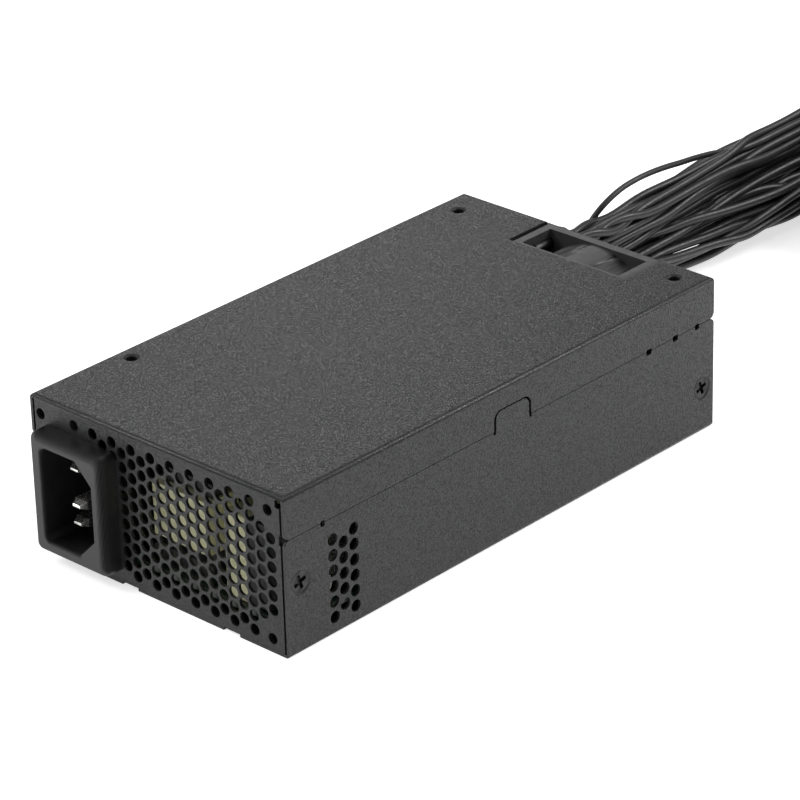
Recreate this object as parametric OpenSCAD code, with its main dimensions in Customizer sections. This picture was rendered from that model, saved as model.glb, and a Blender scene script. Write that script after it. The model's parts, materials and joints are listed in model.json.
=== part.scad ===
// Slim (Flex ATX size) computer power supply: sheet metal case, mains inlet, 40 mm fan, mains converter
// board and the low voltage harness. Millimetres, +Z up, +Y from the mains inlet to the fan.
// The origin is the centre of the case's bottom face.

/* [Case] */
// Width of the case, along X
case_w = 81.5; // [81.5:0.5:90]
// Length of the case, along Y
case_l = 150; // [150:1:180]
// Height of the case, along Z
case_h = 40.5; // [40.5:0.5:44]
// Thickness of the sheet steel
sheet_t = 0.8; // [0.8:0.1:1.0]
// Outside radius of the bends in the sheet steel
bend_r = 1.1; // [1.1:0.1:1.6]
// Height of the seam between the cover's side flange and the chassis wall
seam_z = 29.6; // [26:0.2:31]

/* [Vents] */
// Distance between neighbouring holes of the front grille
grille_pitch = 3.62; // [3.5:0.01:3.8]
// Diameter of a hole in the front grille
grille_hole = 2.9; // [2.4:0.1:3.0]
// Distance between neighbouring holes of the side vent
vent_pitch = 3.95; // [3.8:0.05:4.2]
// Diameter of a hole in the side vent
vent_hole = 3.0; // [2.5:0.1:3.2]

/* [Mains inlet] */
// How far the inlet stands out in front of the front panel
inlet_proud = 5.3; // [3:0.1:7]
// Width of the inlet's bezel, along X
inlet_w = 23.8; // [23:0.1:24]
// Height of the inlet's bezel, along Z
inlet_h = 30.6; // [30:0.1:31]

/* [Fan] */
// Number of fan blades
fan_blades = 7; // [5:1:9]

/* [Hidden] */
$fn = 48;

steel = [0.17, 0.17, 0.18];
black = [0.07, 0.07, 0.075];
brass = [0.80, 0.78, 0.70];
copper = [0.72, 0.40, 0.20];
board_green = [0.08, 0.25, 0.12];
aluminium = [0.72, 0.73, 0.75];
tape_yellow = [0.86, 0.84, 0.55];
ferrite = [0.12, 0.12, 0.13];

in_w = case_w - 2 * sheet_t;      // inside width between the walls
half_w = case_w / 2;
half_l = case_l / 2;
front_y = -half_l;                // outer face of the front panel
rear_y = half_l;                  // outer face of the rear panel
panel_w = in_w - 1.2;             // width of the folded end panels, between the chassis walls
corner_gap = [1.9, 2.1];          // openings in the panels' upper corners at +X, along X and Z
seam_gap = 0.15;
flange_r = 1.5;                   // the flanges' lower corners

// Lock tab of the chassis wall in the cover's flange
tab_y0 = -5;
tab_y1 = 6.5;
tab_top = 34.4;
tab_r = 2;

// Case screws: [y, z] on each side wall
screw_places = [[-70.6, 17.9], [70.6, 12.1]];
screw_head_r = 2.75;
screw_r = 1.4;
screw_sink = 0.2;
screw_cone = 1.45;
dimple_r = 3.25;

// Tapped mounting holes
front_holes = [[-37.4, 36.1], [35.7, 36.1], [35.7, 3.6]];
top_holes = [[-36, -47], [-34, 65.5], [33.5, 68.5]];
tapped_r = 1.4;
collar_r = 1.9;
collar_l = 1.2;
countersink_r = 3;                // shallow countersink of the holes in the top
countersink_l = 0.35;
earth_hole = [-26.2, 36.6];
ring_y = front_y + sheet_t + collar_l;  // where the earth lead's ring terminal lies
lug_x = earth_hole[0] + 3.8;
lug_z = earth_hole[1] + 0.2;

// Mains inlet
inlet_x = -24.6;
inlet_z = 18.6;
inlet_lip = 1.8;                  // rounding of the bezel's front edge
socket_w = 16.4;
socket_h = 24.3;
socket_cut = 5;                   // the two cut corners
socket_r = 1.6;                   // the two round corners
socket_mouth = 0.9;               // rounding of the opening's edge
socket_x = inlet_x + 0.2;
socket_z = inlet_z + 0.25;
inlet_face_y = front_y - inlet_proud;
socket_floor_y = inlet_face_y + 16.8;
inlet_back_y = socket_floor_y + 2;
inlet_body_w = 20;
inlet_body_h = 27.5;
blade_w = 4;
blade_t = 2;
tip_l = 1.8;                      // the blades' tapered tips
tab_l = 7.5;
tab_y = inlet_back_y + tab_l;     // where the solder tabs end
// The three blades' middles: [x, z]
line_blade = [socket_x - 2.25, inlet_z + 6.7];
neutral_blade = [socket_x - 2.25, inlet_z - 7.3];
earth_blade = [socket_x + 1.2, inlet_z - 0.3];

// Fan: a standard 40 mm one
fan_size = 40;
fan_depth = 15;
fan_screw_pitch = 32;
fan_step = 0.85;                  // the frame's front edge is stepped to pass under the cover
fan_x = 6.5;
fan_z = fan_size / 2 + 0.2;
fan_y1 = rear_y - sheet_t;
fan_y0 = fan_y1 - fan_depth;
fan_bore_r = 18.6;
fan_barrel_r = 19.6;
fan_cut_w = 37.8;                 // opening of the cover above the fan
fan_relief = 0.45;                // how far the strip of the cover behind that opening is lowered
rear_notch = [-28.3, -22.2];      // shallow notch in the cover's rear edge, along X
fan_hub_r = 9;
fan_tip_r = 18.1;
fan_pocket_w = 31;
shaft_r = 1.0;
shaft_clearance = 0.03;
fan_screw_hole_r = 1.75;
guard_wire_r = 0.6;

// Main board
board_z = 5.0;
board_t = 1.6;
board_top = board_z + board_t;
standoffs = [[-35, -46], [35, -66], [-35, 44], [35, 44]];

// Mains filter choke: the box of its taped winding
choke_x0 = -7.6;
choke_x1 = 10.4;
choke_y0 = -69;
choke_y1 = -59;
choke_z0 = 12.8;
choke_z1 = 26.4;

// Wire outlet in the rear panel
outlet_x = -26.3;
outlet_z = 17;
outlet_w = 23;
outlet_h = 26;
grommet_wall = 1.5;
output_board_y = 51;

// Cable routes: [x, y, z, half width, half height] of the bundle, by hand
main_route = [
    [-26.3, 52.6, 13.2, 7.4, 7.4], [-26.3, 64, 13.2, 7.4, 7.4], [-26.3, 77, 13.2, 7.4, 7.4],
    [-25.2, 95, 11, 8, 8], [-25.4, 115, 10, 8.4, 8.4], [-24.2, 140, 9.6, 8.5, 8.5],
    [-23.6, 165, 10.1, 9.9, 9.9], [-23.4, 190, 10.1, 9.9, 9.9], [-23.6, 215, 10.1, 9.8, 9.8],
    [-24, 240, 10.6, 9, 9], [-26, 252, 10.2, 9.2, 9.2], [-27, 262, 9.8, 9.3, 9.3],
    [-22.4, 273.4, 9.8, 9.3, 9.3], [-11, 278, 9.8, 9.3, 9.3], [0.4, 273.4, 9.8, 9.3, 9.3],
    [5, 262, 9.8, 9.3, 9.3], [4, 252, 10.2, 9.2, 9.2], [1.5, 240, 10.6, 9, 9], [4, 228, 9, 13, 8],
    [10.5, 217, 6.8, 19, 6], [14.5, 209, 5, 23, 4.6], [14.5, 206, 4.8, 24, 4.3], [14.5, 203, 4.8, 24, 4.3]
];
cpu_route = [
    [-22, 52.6, 24.4, 3.6, 3.6], [-22, 64, 24.4, 3.6, 3.6], [-22, 77, 24.4, 3.6, 3.6],
    [-21.8, 95, 23.4, 3.8, 3.8], [-22.2, 115, 22.9, 4, 4], [-22.9, 140, 23.6, 4, 4],
    [-24, 165, 24.3, 4, 4], [-24.2, 190, 24.3, 4, 4], [-25.6, 215, 24.1, 4, 4],
    [-23.8, 240, 24.3, 4.2, 4.2], [-23.8, 252, 24, 4.3, 4.3], [-25, 262, 24, 4.4, 4.4],
    [-20.9, 271.9, 24, 4.4, 4.4], [-11, 276, 24, 4.4, 4.4], [-1.1, 271.9, 24, 4.4, 4.4],
    [3, 262, 24, 4.4, 4.4], [2, 252, 24.2, 4.3, 4.3], [0, 240, 24.3, 4.2, 4.2], [-1, 228, 22, 5, 4.2],
    [-0.3, 216, 18.2, 7, 4], [0.2, 207, 14.8, 8.2, 4], [0.2, 203.5, 14.4, 8.4, 4],
    [0.2, 200, 14.4, 8.4, 4]
];
drive_route = [
    [-31, 52.6, 24.2, 2.9, 2.9], [-31, 64, 24.2, 2.9, 2.9], [-31, 77, 24.2, 2.9, 2.9],
    [-33.8, 95, 18.6, 2.9, 2.9], [-35, 115, 16.2, 2.9, 2.9], [-34.2, 140, 15.4, 2.9, 2.9],
    [-34.4, 165, 18.6, 3, 3], [-34.2, 190, 18.8, 3, 3], [-34.1, 215, 20, 3.2, 3.2],
    [-32.5, 240, 20.6, 3.4, 3.4], [-33.5, 252, 21, 3.5, 3.5], [-34, 262, 21.2, 3.6, 3.6],
    [-27.3, 278.3, 21.2, 3.6, 3.6], [-11, 285, 21.2, 3.6, 3.6], [5.3, 278.3, 21.2, 3.6, 3.6],
    [12, 262, 21.2, 3.6, 3.6], [11.5, 252, 21, 3.5, 3.5], [10, 240, 20.6, 3.4, 3.4],
    [14, 228, 19.6, 3.8, 3.4], [21, 217, 16.2, 5, 2.8], [29.5, 208.5, 12.8, 7, 1.9],
    [29.5, 206, 12.4, 7.4, 1.6], [29.5, 203.5, 12.4, 7.4, 1.6]
];
tie_y = 240;

// Connectors: the wire side is at the larger y
contact_pitch = 4.2;
plug_l = 19.6;
plug_h = 2 * contact_pitch + 1.2;
main_plug = [14.5, 203, 0];
cpu_plug = [0.2, 200, plug_h];
drive_plug = [29.5, 203.5, plug_h];

// ---------- helpers ----------

module block(lo, hi) {
    translate(lo) cube([hi[0] - lo[0], hi[1] - lo[1], hi[2] - lo[2]]);
}

// Cylinders along X and Y, from one end to the other
module rod_x(x0, x1, r, y, z, r2 = -1) {
    translate([x0, y, z]) rotate([0, 90, 0]) cylinder(h = x1 - x0, r1 = r, r2 = r2 < 0 ? r : r2);
}

module rod_y(y0, y1, r, x, z, r2 = -1) {
    translate([x, y0, z]) rotate([-90, 0, 0]) cylinder(h = y1 - y0, r1 = r, r2 = r2 < 0 ? r : r2);
}

// A flat outline from x0 to x1 and from 0 to h, with its two top corners rounded
module top_rounded(x0, x1, h, r) {
    translate([x0, 0]) square([x1 - x0, h - r]);
    translate([x0 + r, 0]) square([x1 - x0 - 2 * r, h]);
    for (x = [x0 + r, x1 - r]) translate([x, h - r]) circle(r);
}

// A flat rectangle about the origin with four round corners
module rounded_rect(w, h, r) {
    square([w, h - 2 * r], center = true);
    square([w - 2 * r, h], center = true);
    for (x = [-1, 1], y = [-1, 1]) translate([x * (w / 2 - r), y * (h / 2 - r)]) circle(r);
}

// Lays a flat (x, z) outline into the part and runs it along Y
module along_y(y0, y1) {
    translate([0, y1, 0]) rotate([90, 0, 0]) linear_extrude(y1 - y0) children();
}

// Lays a flat (y, z) outline into the part and runs it along X
module along_x(x0, x1) {
    translate([x0, 0, 0]) rotate([90, 0, 90]) linear_extrude(x1 - x0) children();
}

// Both side walls are alike: the right one, at +X, and its mirror image
module both_sides() {
    children();
    mirror([1, 0, 0]) children();
}

// Catmull-Rom spline through a list of points of any size
function spline_at(p, i, t) =
    let (a = p[max(i - 1, 0)], b = p[i], c = p[i + 1], d = p[min(i + 2, len(p) - 1)])
    0.5 * (2 * b + (c - a) * t + (2 * a - 5 * b + 4 * c - d) * t * t + (3 * b - a - 3 * c + d) * t * t * t);

function spline(p, n) = [
    for (i = [0 : len(p) - 2], k = [0 : n - 1]) spline_at(p, i, k / n),
    p[len(p) - 1]
];

function unit(v) = v / norm(v);
function place(q) = [q[0], q[1], q[2]];

// One ring of a bundle: an ellipse square to the route at point i; the route never runs along datum
function ring(q, i, sides, datum) =
    let (
        ahead = unit(place(q[min(i + 1, len(q) - 1)]) - place(q[max(i - 1, 0)])),
        side = unit(cross(ahead, datum)),
        up = cross(side, ahead)
    )
    [for (k = [0 : sides - 1]) let (a = 360 * k / sides)
        place(q[i]) + side * q[i][3] * cos(a) + up * q[i][4] * sin(a)];

// A closed tube along a route of [x, y, z, half width, half height]
module bundle(route, steps, sides, datum = [0, 0, 1]) {
    q = spline(route, steps);
    n = len(q);
    points = [for (i = [0 : n - 1]) each ring(q, i, sides, datum)];
    walls = [for (i = [0 : n - 2], k = [0 : sides - 1])
        [i * sides + k, i * sides + (k + 1) % sides, (i + 1) * sides + (k + 1) % sides, (i + 1) * sides + k]];
    caps = [[for (k = [sides - 1 : -1 : 0]) k], [for (k = [0 : sides - 1]) (n - 1) * sides + k]];
    polyhedron(points = points, faces = concat(walls, caps), convexity = 6);
}

// ---------- case ----------

// The hole that a countersunk case screw sits in, through the wall at +X
module screw_seat(place) {
    top = half_w - screw_sink;
    rod_x(half_w - 4, top - screw_cone + 0.01, screw_r + 0.05, place[0], place[1]);
    rod_x(top - screw_cone, top, screw_r + 0.05, place[0], place[1], screw_head_r + 0.05);
    rod_x(top - 0.01, half_w + 0.01, screw_head_r + 0.05, place[0], place[1], dimple_r);
}

// Small gaps in the seam at +X, cut into the edges of both sheets: [y, length along Y]
module seam_notches() {
    for (spot = [[-63, 1.4], [50.2, 2], [60.2, 2], [68.5, 1.6]])
        along_x(half_w - 1, half_w + 1) translate([spot[0], seam_z - 0.15]) rounded_rect(spot[1], 1.5, 0.4);
}

module side_vent() {
    for (column = [0 : 2], row = [0 : 5])
        if (column != 1 || row < 5)
            rod_x(half_w - 2, half_w + 1, vent_hole / 2,
                  -60.1 + column * vent_pitch * sin(60),
                  4.5 + (row + (column == 1 ? 0.5 : 0)) * vent_pitch);
}

// Rounds the upper rear and front corners of the chassis wall
module wall_outline() {
    r = 1.5;
    translate([front_y, bend_r]) square([case_l, seam_z - r - bend_r]);
    translate([front_y + r, bend_r]) square([case_l - 2 * r, seam_z - bend_r]);
    for (y = [front_y + r, rear_y - r]) translate([y, seam_z - r]) circle(r);
    translate([tab_y0, seam_z - 1]) square([tab_y1 - tab_y0, tab_top - tab_r - seam_z + 1]);
    translate([tab_y0 + tab_r, seam_z - 1]) square([tab_y1 - tab_y0 - 2 * tab_r, tab_top - seam_z + 1]);
    for (y = [tab_y0 + tab_r, tab_y1 - tab_r]) translate([y, tab_top - tab_r]) circle(tab_r);
}

// Bottom and both side walls, folded from one sheet
module chassis() {
    color(steel) difference() {
        union() {
            difference() {
                along_y(front_y, rear_y) translate([0, seam_z]) mirror([0, 1])
                    top_rounded(-half_w, half_w, seam_z, bend_r);
                along_y(front_y - 1, rear_y + 1) translate([0, seam_z + 1]) mirror([0, 1])
                    top_rounded(-half_w + sheet_t, half_w - sheet_t, seam_z + 1 - sheet_t, bend_r - sheet_t);
                both_sides() block([half_w - 2, front_y - 1, bend_r], [half_w + 1, rear_y + 1, seam_z + 1]);
            }
            both_sides() along_x(half_w - sheet_t, half_w) wall_outline();
        }
        both_sides() for (p = screw_places) screw_seat(p);
        both_sides() seam_notches();
        side_vent();
        // relief at the foot of the lock tab
        both_sides() for (y = [tab_y0 - 0.9, tab_y1 + 0.1])
            block([half_w - 1, y, seam_z - 0.7], [half_w + 1, y + 0.8, seam_z + 0.1]);
        // room for the fan, and clearance notches under the front panel
        block([fan_x - fan_cut_w / 2, fan_y0 - 0.2, -1], [fan_x + fan_cut_w / 2, rear_y + 1, sheet_t + 1]);
        for (x = [-12.9, 20]) block([x, front_y - 1, -1], [x + 5.2, front_y + sheet_t + 0.1, sheet_t + 0.1]);
        for (p = standoffs) translate([p[0], p[1], -1]) cylinder(h = 3, r = 1.5);
    }
}

function grille_skips(column, row) =
    column < 2 && row > 0 || column == 2 && row > 1 || column == 17 && (row == 0 || row == 8)
    || column == 18 && (row < 2 || row > 7) || column % 2 == 1 && row > 8;

module grille_holes() {
    for (column = [0 : 18], row = [0 : 9])
        if (!grille_skips(column, row))
            rod_y(front_y - 1, front_y + 2, grille_hole / 2,
                  -20.06 + column * grille_pitch * sin(60),
                  36.45 - (row + (column % 2) / 2) * grille_pitch);
}

// The space inside and outside the lock tab, cut into the cover's flange at +X
module tab_pocket() {
    gap_side = 0.75;
    gap_top = 0.35;
    along_x(half_w - 1, half_w + 1) {
        y0 = tab_y0 - gap_side;
        y1 = tab_y1 + gap_side;
        top = tab_top + gap_top;
        r = tab_r + 0.4;
        translate([y0, seam_z - 1]) square([y1 - y0, top - r - seam_z + 1]);
        translate([y0 + r, seam_z - 1]) square([y1 - y0 - 2 * r, top - seam_z + 1]);
        for (y = [y0 + r, y1 - r]) translate([y, top - r]) circle(r);
    }
}

// Ears folded back from the end panels, which the case screws run into
module screw_ear(place) {
    inward = place[0] < 0 ? 1 : -1;
    y_wall = place[0] < 0 ? front_y : rear_y;
    y_far = y_wall + inward * 9;
    ear_t = 1;
    y_near = y_wall + inward * 0.4;
    block([panel_w / 2 - ear_t, min(y_near, y_far), place[1] - 5],
          [panel_w / 2, max(y_near, y_far), place[1] + 5]);
}

// Top, side flanges and both end panels, folded from one sheet
module cover() {
    flange_bottom = seam_z + seam_gap;
    panel_bottom = sheet_t + 0.05;
    color(steel) difference() {
        union() {
            difference() {
                intersection() {
                    along_y(front_y, rear_y) top_rounded(-half_w, half_w, case_h, bend_r);
                    along_x(-half_w, half_w) top_rounded(front_y, rear_y, case_h, bend_r);
                }
                intersection() {
                    along_y(front_y - 1, rear_y + 1)
                        top_rounded(-half_w + sheet_t, half_w - sheet_t, case_h - sheet_t, bend_r - sheet_t);
                    along_x(-half_w - 1, half_w + 1)
                        top_rounded(front_y + sheet_t, rear_y - sheet_t, case_h - sheet_t, bend_r - sheet_t);
                }
                // the flanges end at the seam, the end panels stand inside the chassis walls
                both_sides() block([panel_w / 2, front_y - 1, -1], [half_w + 1, rear_y + 1, flange_bottom]);
                both_sides() for (y = [front_y, rear_y])
                    block([panel_w / 2, y - 1, -1], [half_w - sheet_t, y + 1, case_h - 1]);
                block([-half_w, front_y - 1, -1], [half_w, rear_y + 1, panel_bottom]);
            }
            both_sides() for (p = screw_places) screw_ear(p);
            // collars drawn inwards round the tapped holes
            for (p = concat(front_holes, [earth_hole]))
                rod_y(front_y + sheet_t - 0.1, front_y + sheet_t + collar_l, collar_r, p[0], p[1]);
            for (p = top_holes)
                translate([p[0], p[1], case_h - sheet_t - collar_l])
                    cylinder(h = collar_l + 0.1, r = collar_r);
        }
        both_sides() tab_pocket();
        both_sides() seam_notches();
        both_sides() for (p = screw_places) screw_seat(p);
        for (y = [front_y, rear_y])
            along_y(y - 1, y + 1)
                translate([half_w - sheet_t - corner_gap[0] / 2, case_h - 1 - corner_gap[1] / 2])
                    rounded_rect(corner_gap[0], corner_gap[1], 0.6);
        // rounded lower corners of the flanges
        both_sides() for (s = [-1, 1]) difference() {
            translate([half_w - 0.3, s * half_l, flange_bottom]) cube(2 * flange_r, center = true);
            rod_x(half_w - 3, half_w + 3, flange_r, s * (half_l - flange_r), flange_bottom + flange_r);
        }
        grille_holes();
        for (p = concat(front_holes, [earth_hole])) rod_y(front_y - 1, front_y + 3, tapped_r, p[0], p[1]);
        for (p = top_holes) {
            translate([p[0], p[1], case_h - 3]) cylinder(h = 4, r = tapped_r);
            translate([p[0], p[1], case_h - countersink_l])
                cylinder(h = 0.9, r1 = tapped_r, r2 = countersink_r);
        }
        // openings: mains inlet, fan top, fan air, fan screws, wire outlet
        block([inlet_x - inlet_body_w / 2 - 0.1, front_y - 1, inlet_z - inlet_body_h / 2 - 0.1],
              [inlet_x + inlet_body_w / 2 + 0.1, front_y + 2, inlet_z + inlet_body_h / 2 + 0.1]);
        block([fan_x - fan_cut_w / 2, fan_y0 + 0.8, case_h - 3],
              [fan_x + fan_cut_w / 2, fan_y1 + 0.05, case_h + 1]);
        block([fan_x - fan_cut_w / 2, rear_y - 2, case_h - fan_relief],
              [fan_x + fan_cut_w / 2, rear_y + 1, case_h + 1]);
        block([rear_notch[0], rear_y - 0.35, case_h - 3], [rear_notch[1], rear_y + 1, case_h + 1]);
        rod_y(rear_y - 2, rear_y + 1, fan_bore_r + 0.2, fan_x, fan_z);
        for (x = [-1, 1], z = [-1, 1])
            rod_y(rear_y - 2, rear_y + 1, fan_screw_hole_r,
                  fan_x + x * fan_screw_pitch / 2, fan_z + z * fan_screw_pitch / 2);
        along_y(rear_y - 2, rear_y + 1) translate([outlet_x, outlet_z]) rounded_rect(outlet_w, outlet_h, 3);
    }
}

// Cross recess of a screw whose head faces +X, cut depth deep from x
module cross_recess(x, y, z, size, depth) {
    slot = 0.95;
    for (turn = [0, 90])
        translate([x - depth, y, z]) rotate([turn + 20, 0, 0])
            translate([0, -size / 2, -slot / 2]) cube([depth + 1, size, slot]);
}

// One countersunk case screw, in the wall at +X
module case_screw(place) {
    top = half_w - screw_sink;
    difference() {
        union() {
            rod_x(top - screw_cone, top, screw_r, place[0], place[1], screw_head_r);
            rod_x(half_w - 4.2, top - screw_cone + 0.05, screw_r, place[0], place[1]);
        }
        cross_recess(top, place[0], place[1], 3.7, 0.9);
    }
}

module case_screws() {
    color(black) both_sides() for (p = screw_places) case_screw(p);
}

// Plastic film under the board and up the chassis walls
module insulator_sheet() {
    film = 0.3;
    low = sheet_t + 0.1;
    color([0.10, 0.10, 0.10]) difference() {
        block([-38.9, -73, low], [38.9, 57, 24]);
        block([-38.9 + film, -74, low + film], [38.9 - film, 58, 25]);
        block([-40, -74, low + film], [-30, -50, 25]);
        block([30, -80, low + film], [40, -50, 25]);
        for (p = standoffs) translate([p[0], p[1], 0]) cylinder(h = 3, r = 3.2);
    }
}

// ---------- mains inlet ----------

// The socket's outline, grown by grow: two corners at +X cut off, the other two rounded
module socket_outline(grow) {
    w = socket_w / 2 + grow;
    h = socket_h / 2 + grow;
    r = socket_r + grow;
    cut = socket_cut + grow * (2 - sqrt(2));
    polygon([[-w, -h + r], [-w + r, -h], [w - cut, -h], [w, -h + cut],
             [w, h - cut], [w - cut, h], [-w + r, h], [-w, h - r]]);
    for (s = [-1, 1]) translate([-w + r, s * (h - r)]) circle(r);
}

// Moulded body of the inlet; its bezel's front edge and the opening's edge are rounded in steps
module inlet_body() {
    ramp_x = inlet_body_w / 2 + 0.6;
    color(black) difference() {
        union() {
            for (turn = [0 : 10 : 90])
                let (back = inlet_lip * (1 - sin(turn)), inset = inlet_lip * (1 - cos(turn)))
                along_y(inlet_face_y + back, front_y) translate([inlet_x, inlet_z])
                    rounded_rect(inlet_w - 2 * inset, inlet_h - 2 * inset, 1.4);
            along_y(front_y - 0.1, inlet_back_y) translate([inlet_x, inlet_z])
                rounded_rect(inlet_body_w, inlet_body_h, 0.8);
            // snap ramps behind the panel
            for (s = [-1, 1])
                block([inlet_x + s * ramp_x - 0.6, front_y + sheet_t + 0.05, inlet_z - 4],
                      [inlet_x + s * ramp_x + 0.6, front_y + sheet_t + 5, inlet_z + 4]);
        }
        along_y(inlet_face_y - 1, socket_floor_y) translate([socket_x, socket_z]) socket_outline(0);
        for (turn = [15 : 15 : 75])
            along_y(inlet_face_y - 1, inlet_face_y + socket_mouth * (1 - cos(turn)))
                translate([socket_x, socket_z]) socket_outline(socket_mouth * (1 - sin(turn)));
        for (p = [line_blade, neutral_blade, earth_blade])
            block([p[0] - blade_w / 2, socket_floor_y - 1, p[1] - blade_t / 2],
                  [p[0] + blade_w / 2, inlet_back_y + 1, p[1] + blade_t / 2]);
    }
}

// One blade of the inlet with its solder tab behind: p is its middle, tip_y where it starts
module inlet_pin(p, tip_y) {
    x = p[0];
    z = p[1];
    half = blade_w / 2;
    root_y = tip_y + tip_l;
    color(brass) {
        block([x - half, root_y, z - blade_t / 2], [x + half, inlet_back_y, z + blade_t / 2]);
        hull() {
            block([x - half, root_y, z - blade_t / 2], [x + half, root_y + 0.1, z + blade_t / 2]);
            block([x - half + 0.8, tip_y, z - 0.3], [x + half - 0.8, tip_y + 0.1, z + 0.3]);
        }
        difference() {
            block([x - 2, inlet_back_y - 0.1, z - 0.4], [x + 2, tab_y, z + 0.4]);
            translate([x, tab_y - 2.5, z - 1]) cylinder(h = 2, r = 0.8);
        }
    }
}

module inlet_pin_line() { inlet_pin(line_blade, inlet_face_y + 4.8); }
module inlet_pin_neutral() { inlet_pin(neutral_blade, inlet_face_y + 4.8); }
module inlet_pin_earth() { inlet_pin(earth_blade, inlet_face_y + 1.7); }

// A thin insulated lead inside the case, along a smooth curve
module inner_lead(points, r) {
    bundle([for (p = points) [p[0], p[1], p[2], r, r]], 4, 8, [1, 0, 0]);
}

// Straight first stretch of a lead, square to the tab it is soldered to
function off_tab(blade) = [for (step = [0.02, 1.2, 2.4]) [blade[0], tab_y + step, blade[1]]];

module mains_lead_line() {
    color([0.35, 0.20, 0.12]) inner_lead(concat(off_tab(line_blade),
        [[-24, -47.5, 21], [-18.5, -46, 14], [-18, -46, 10.5], [-18, -46, 8.4],
         [-18, -46, board_top + 0.02]]), 1.2);
}

module mains_lead_neutral() {
    color([0.12, 0.25, 0.55]) inner_lead(concat(off_tab(neutral_blade),
        [[-28.8, -47.6, 10.6], [-29, -46.3, 9.2], [-29, -46.3, 8],
         [-29, -46.3, board_top + 0.02]]), 1.2);
}

module earth_lead() {
    color([0.25, 0.50, 0.20]) inner_lead(concat(off_tab(earth_blade),
        [[-19.5, -49, 24], [-15.5, -54, 32], [-16.5, -61, 36], [lug_x, ring_y + 6.5, lug_z],
         [lug_x, ring_y + 4, lug_z], [lug_x, ring_y + 1.95, lug_z]]), 1.2);
}

// Ring terminal of the earth lead, with the screw that clamps it to the front panel
module earth_terminal() {
    color(brass) {
        difference() {
            union() {
                rod_y(ring_y, ring_y + 0.8, 3, earth_hole[0], earth_hole[1]);
                block([earth_hole[0] + 2, ring_y, earth_hole[1] - 1],
                      [lug_x + 1.2, ring_y + 0.8, earth_hole[1] + 1.4]);
            }
            rod_y(ring_y - 1, ring_y + 2, tapped_r, earth_hole[0], earth_hole[1]);
        }
        rod_y(ring_y + 0.7, ring_y + 1.85, 1.3, lug_x, lug_z);
    }
}

module earth_screw() {
    color(black) {
        rod_y(ring_y + 0.8, ring_y + 2.6, 2.2, earth_hole[0], earth_hole[1]);
        rod_y(front_y + 1.4, ring_y + 0.9, tapped_r - 0.05, earth_hole[0], earth_hole[1]);
    }
}

// ---------- fan ----------

module fan_frame() {
    mid_y0 = fan_y0 + 2;
    mid_y1 = fan_y1 - 2.2;
    strut_y = fan_y1 - 2;
    color(black) {
        difference() {
            union() {
                along_y(fan_y0 + fan_step, fan_y1) translate([fan_x, fan_z])
                    rounded_rect(fan_size, fan_size, 3);
                along_y(fan_y0, fan_y0 + fan_step + 0.01) translate([fan_x, fan_z])
                    rounded_rect(fan_size - 1.1, fan_size - 1.1, 2.5);
            }
            for (turn = [0 : 90 : 270])
                translate([fan_x, 0, fan_z]) rotate([0, turn, 0]) difference() {
                    block([-fan_pocket_w / 2, mid_y0, fan_size / 2 - 8],
                          [fan_pocket_w / 2, mid_y1, fan_size / 2 + 1]);
                    rod_y(mid_y0 - 1, mid_y1 + 1, fan_barrel_r, 0, 0);
                }
            rod_y(fan_y0 - 1, fan_y1 + 1, fan_bore_r, fan_x, fan_z);
            for (x = [-1, 1], z = [-1, 1])
                rod_y(fan_y0 - 1, fan_y1 + 1, fan_screw_hole_r,
                      fan_x + x * fan_screw_pitch / 2, fan_z + z * fan_screw_pitch / 2);
        }
        // motor base and its struts
        difference() {
            union() {
                rod_y(strut_y, fan_y1, fan_hub_r, fan_x, fan_z);
                for (turn = [45 : 90 : 315])
                    translate([fan_x, 0, fan_z]) rotate([0, turn, 0])
                        block([fan_hub_r - 1, strut_y, -0.9], [fan_bore_r + 0.3, fan_y1, 0.9]);
            }
            rod_y(strut_y - 1, fan_y1 + 1, 2.4, fan_x, fan_z);
        }
    }
}

// Sleeve bearing in the middle of the motor base
module fan_bearing() {
    color(brass) difference() {
        rod_y(fan_y1 - 9, fan_y1, 2.4, fan_x, fan_z);
        rod_y(fan_y1 - 10, fan_y1 - 0.8, shaft_r + shaft_clearance, fan_x, fan_z);
    }
}

module fan_stator() {
    color(copper) translate([fan_x, 0, fan_z]) difference() {
        union() {
            rod_y(fan_y1 - 7.6, fan_y1 - 4.2, 3.4, 0, 0);
            for (turn = [0 : 90 : 270]) rotate([0, turn, 0]) {
                block([2.6, fan_y1 - 7.6, -1.1], [5.6, fan_y1 - 4.2, 1.1]);
                intersection() {
                    rod_y(fan_y1 - 7, fan_y1 - 4.8, 6.3, 0, 0);
                    block([5.3, fan_y1 - 8, -3.2], [7, fan_y1 - 4, 3.2]);
                }
            }
        }
        rod_y(fan_y1 - 10, fan_y1, 2.4, 0, 0);
    }
}

module fan_board() {
    color(board_green) difference() {
        rod_y(fan_y1 - 3.2, fan_y1 - 2.2, 8, fan_x, fan_z);
        rod_y(fan_y1 - 4, fan_y1 - 2, 2.4, fan_x, fan_z);
    }
}

// One blade: a strip of a tilted tube wall, trimmed to the rotor's tip
module fan_blade() {
    camber_r = 16;
    intersection() {
        rotate([0, 90, 0]) rotate([0, 0, -38]) translate([-camber_r, 0, fan_hub_r - 0.6]) difference() {
            cylinder(h = 12, r = camber_r + 0.5, $fn = 96);
            translate([0, 0, -1]) cylinder(h = 14, r = camber_r - 0.5, $fn = 96);
        }
        block([fan_hub_r - 0.5, -4.6, -6.5], [20, 4.6, 6.5]);
        rod_y(-6, 6, fan_tip_r, 0, 0);
    }
}

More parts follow.
